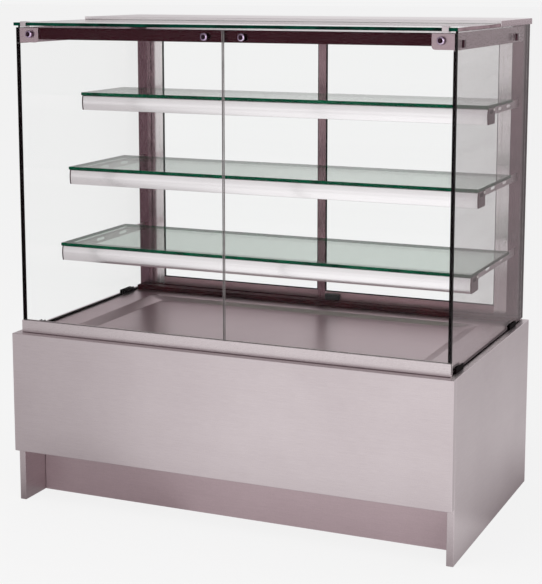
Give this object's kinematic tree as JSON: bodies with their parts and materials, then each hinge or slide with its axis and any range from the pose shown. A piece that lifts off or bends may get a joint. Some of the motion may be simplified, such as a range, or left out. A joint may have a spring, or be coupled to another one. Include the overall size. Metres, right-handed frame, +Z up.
{
  "type": "bakery display case",
  "caption": "Free-standing glass and stainless steel pastry display case with lit glass shelves, recessed deck and sliding rear doors.",
  "frame": {"origin": "centre of the footprint on the floor", "axes": "+Z up, customer side faces -Y, staff side faces +Y, +X to the right seen from the customer side"},
  "size_m": [1.2, 0.7, 1.272],
  "materials": {
    "brushed_steel": "brushed stainless, horizontal grain",
    "dark_steel": "satin, dark reflection",
    "aluminium": "satin anodised",
    "dark_track": "dark satin",
    "rubber": "matt black",
    "black_plastic": "fine matt",
    "glass": "clear float with polished edges",
    "opal": "opal diffuser"
  },
  "bodies": {
    "cabinet": {"cabinet_floor": "brushed_steel", "centre_guide": "black_plastic", "control_panel": "brushed_steel", "deck": "brushed_steel", "front_glass_rail": "brushed_steel", "front_panel": "brushed_steel", "front_stretcher": "brushed_steel", "header_bar": "dark_steel", "hood": "brushed_steel", "kick_panel": "brushed_steel", "left_front_glass": "glass", "left_front_glass_clip": "rubber", "left_rear_glass_clip": "rubber", "left_rear_post": "brushed_steel", "left_side_glass": "glass", "left_side_panel": "brushed_steel", "left_side_rail": "brushed_steel", "left_top_glass_clip": "brushed_steel", "light_driver": "black_plastic", "lower_left_end_cap": "dark_steel", "lower_left_shelf_arm": "brushed_steel", "lower_light_diffuser": "opal", "lower_light_rail": "aluminium", "lower_right_end_cap": "dark_steel", "lower_right_shelf_arm": "brushed_steel", "lower_shelf_glass": "glass", "lower_track": "dark_track", "middle_left_end_cap": "dark_steel", "middle_left_shelf_arm": "brushed_steel", "middle_light_diffuser": "opal", "middle_light_rail": "aluminium", "middle_right_end_cap": "dark_steel", "middle_right_shelf_arm": "brushed_steel", "middle_shelf_glass": "glass", "power_inlet": "black_plastic", "rear_stretcher": "brushed_steel", "right_front_glass": "glass", "right_front_glass_clip": "rubber", "right_rear_glass_clip": "rubber", "right_rear_post": "brushed_steel", "right_side_glass": "glass", "right_side_panel": "brushed_steel", "right_side_rail": "brushed_steel", "right_top_glass_clip": "brushed_steel", "storage_shelf": "brushed_steel", "switch_bezel": "black_plastic", "top_glass": "glass", "upper_left_end_cap": "dark_steel", "upper_left_shelf_arm": "brushed_steel", "upper_light_diffuser": "opal", "upper_light_rail": "aluminium", "upper_right_end_cap": "dark_steel", "upper_right_shelf_arm": "brushed_steel", "upper_shelf_glass": "glass", "upper_track": "aluminium"},
    "left_door": {"left_door_frame": "aluminium", "left_door_glass": "glass"},
    "right_door": {"right_door_frame": "aluminium", "right_door_glass": "glass"},
    "switch_rocker": {"light_switch": "black_plastic"}
  },
  "joints": [
    {"name": "left_door_slide", "type": "slide", "parent": "cabinet", "child": "left_door", "axis": [1, 0, 0], "range_m": [0, 0.52]},
    {"name": "right_door_slide", "type": "slide", "parent": "cabinet", "child": "right_door", "axis": [-1, 0, 0], "range_m": [0, 0.52]},
    {"name": "light_switch_rock", "type": "hinge", "parent": "cabinet", "child": "switch_rocker", "pos_m": [0.43, 0.346, 0.4037], "axis": [1, 0, 0], "range_deg": [-16, 0]}
  ]
}
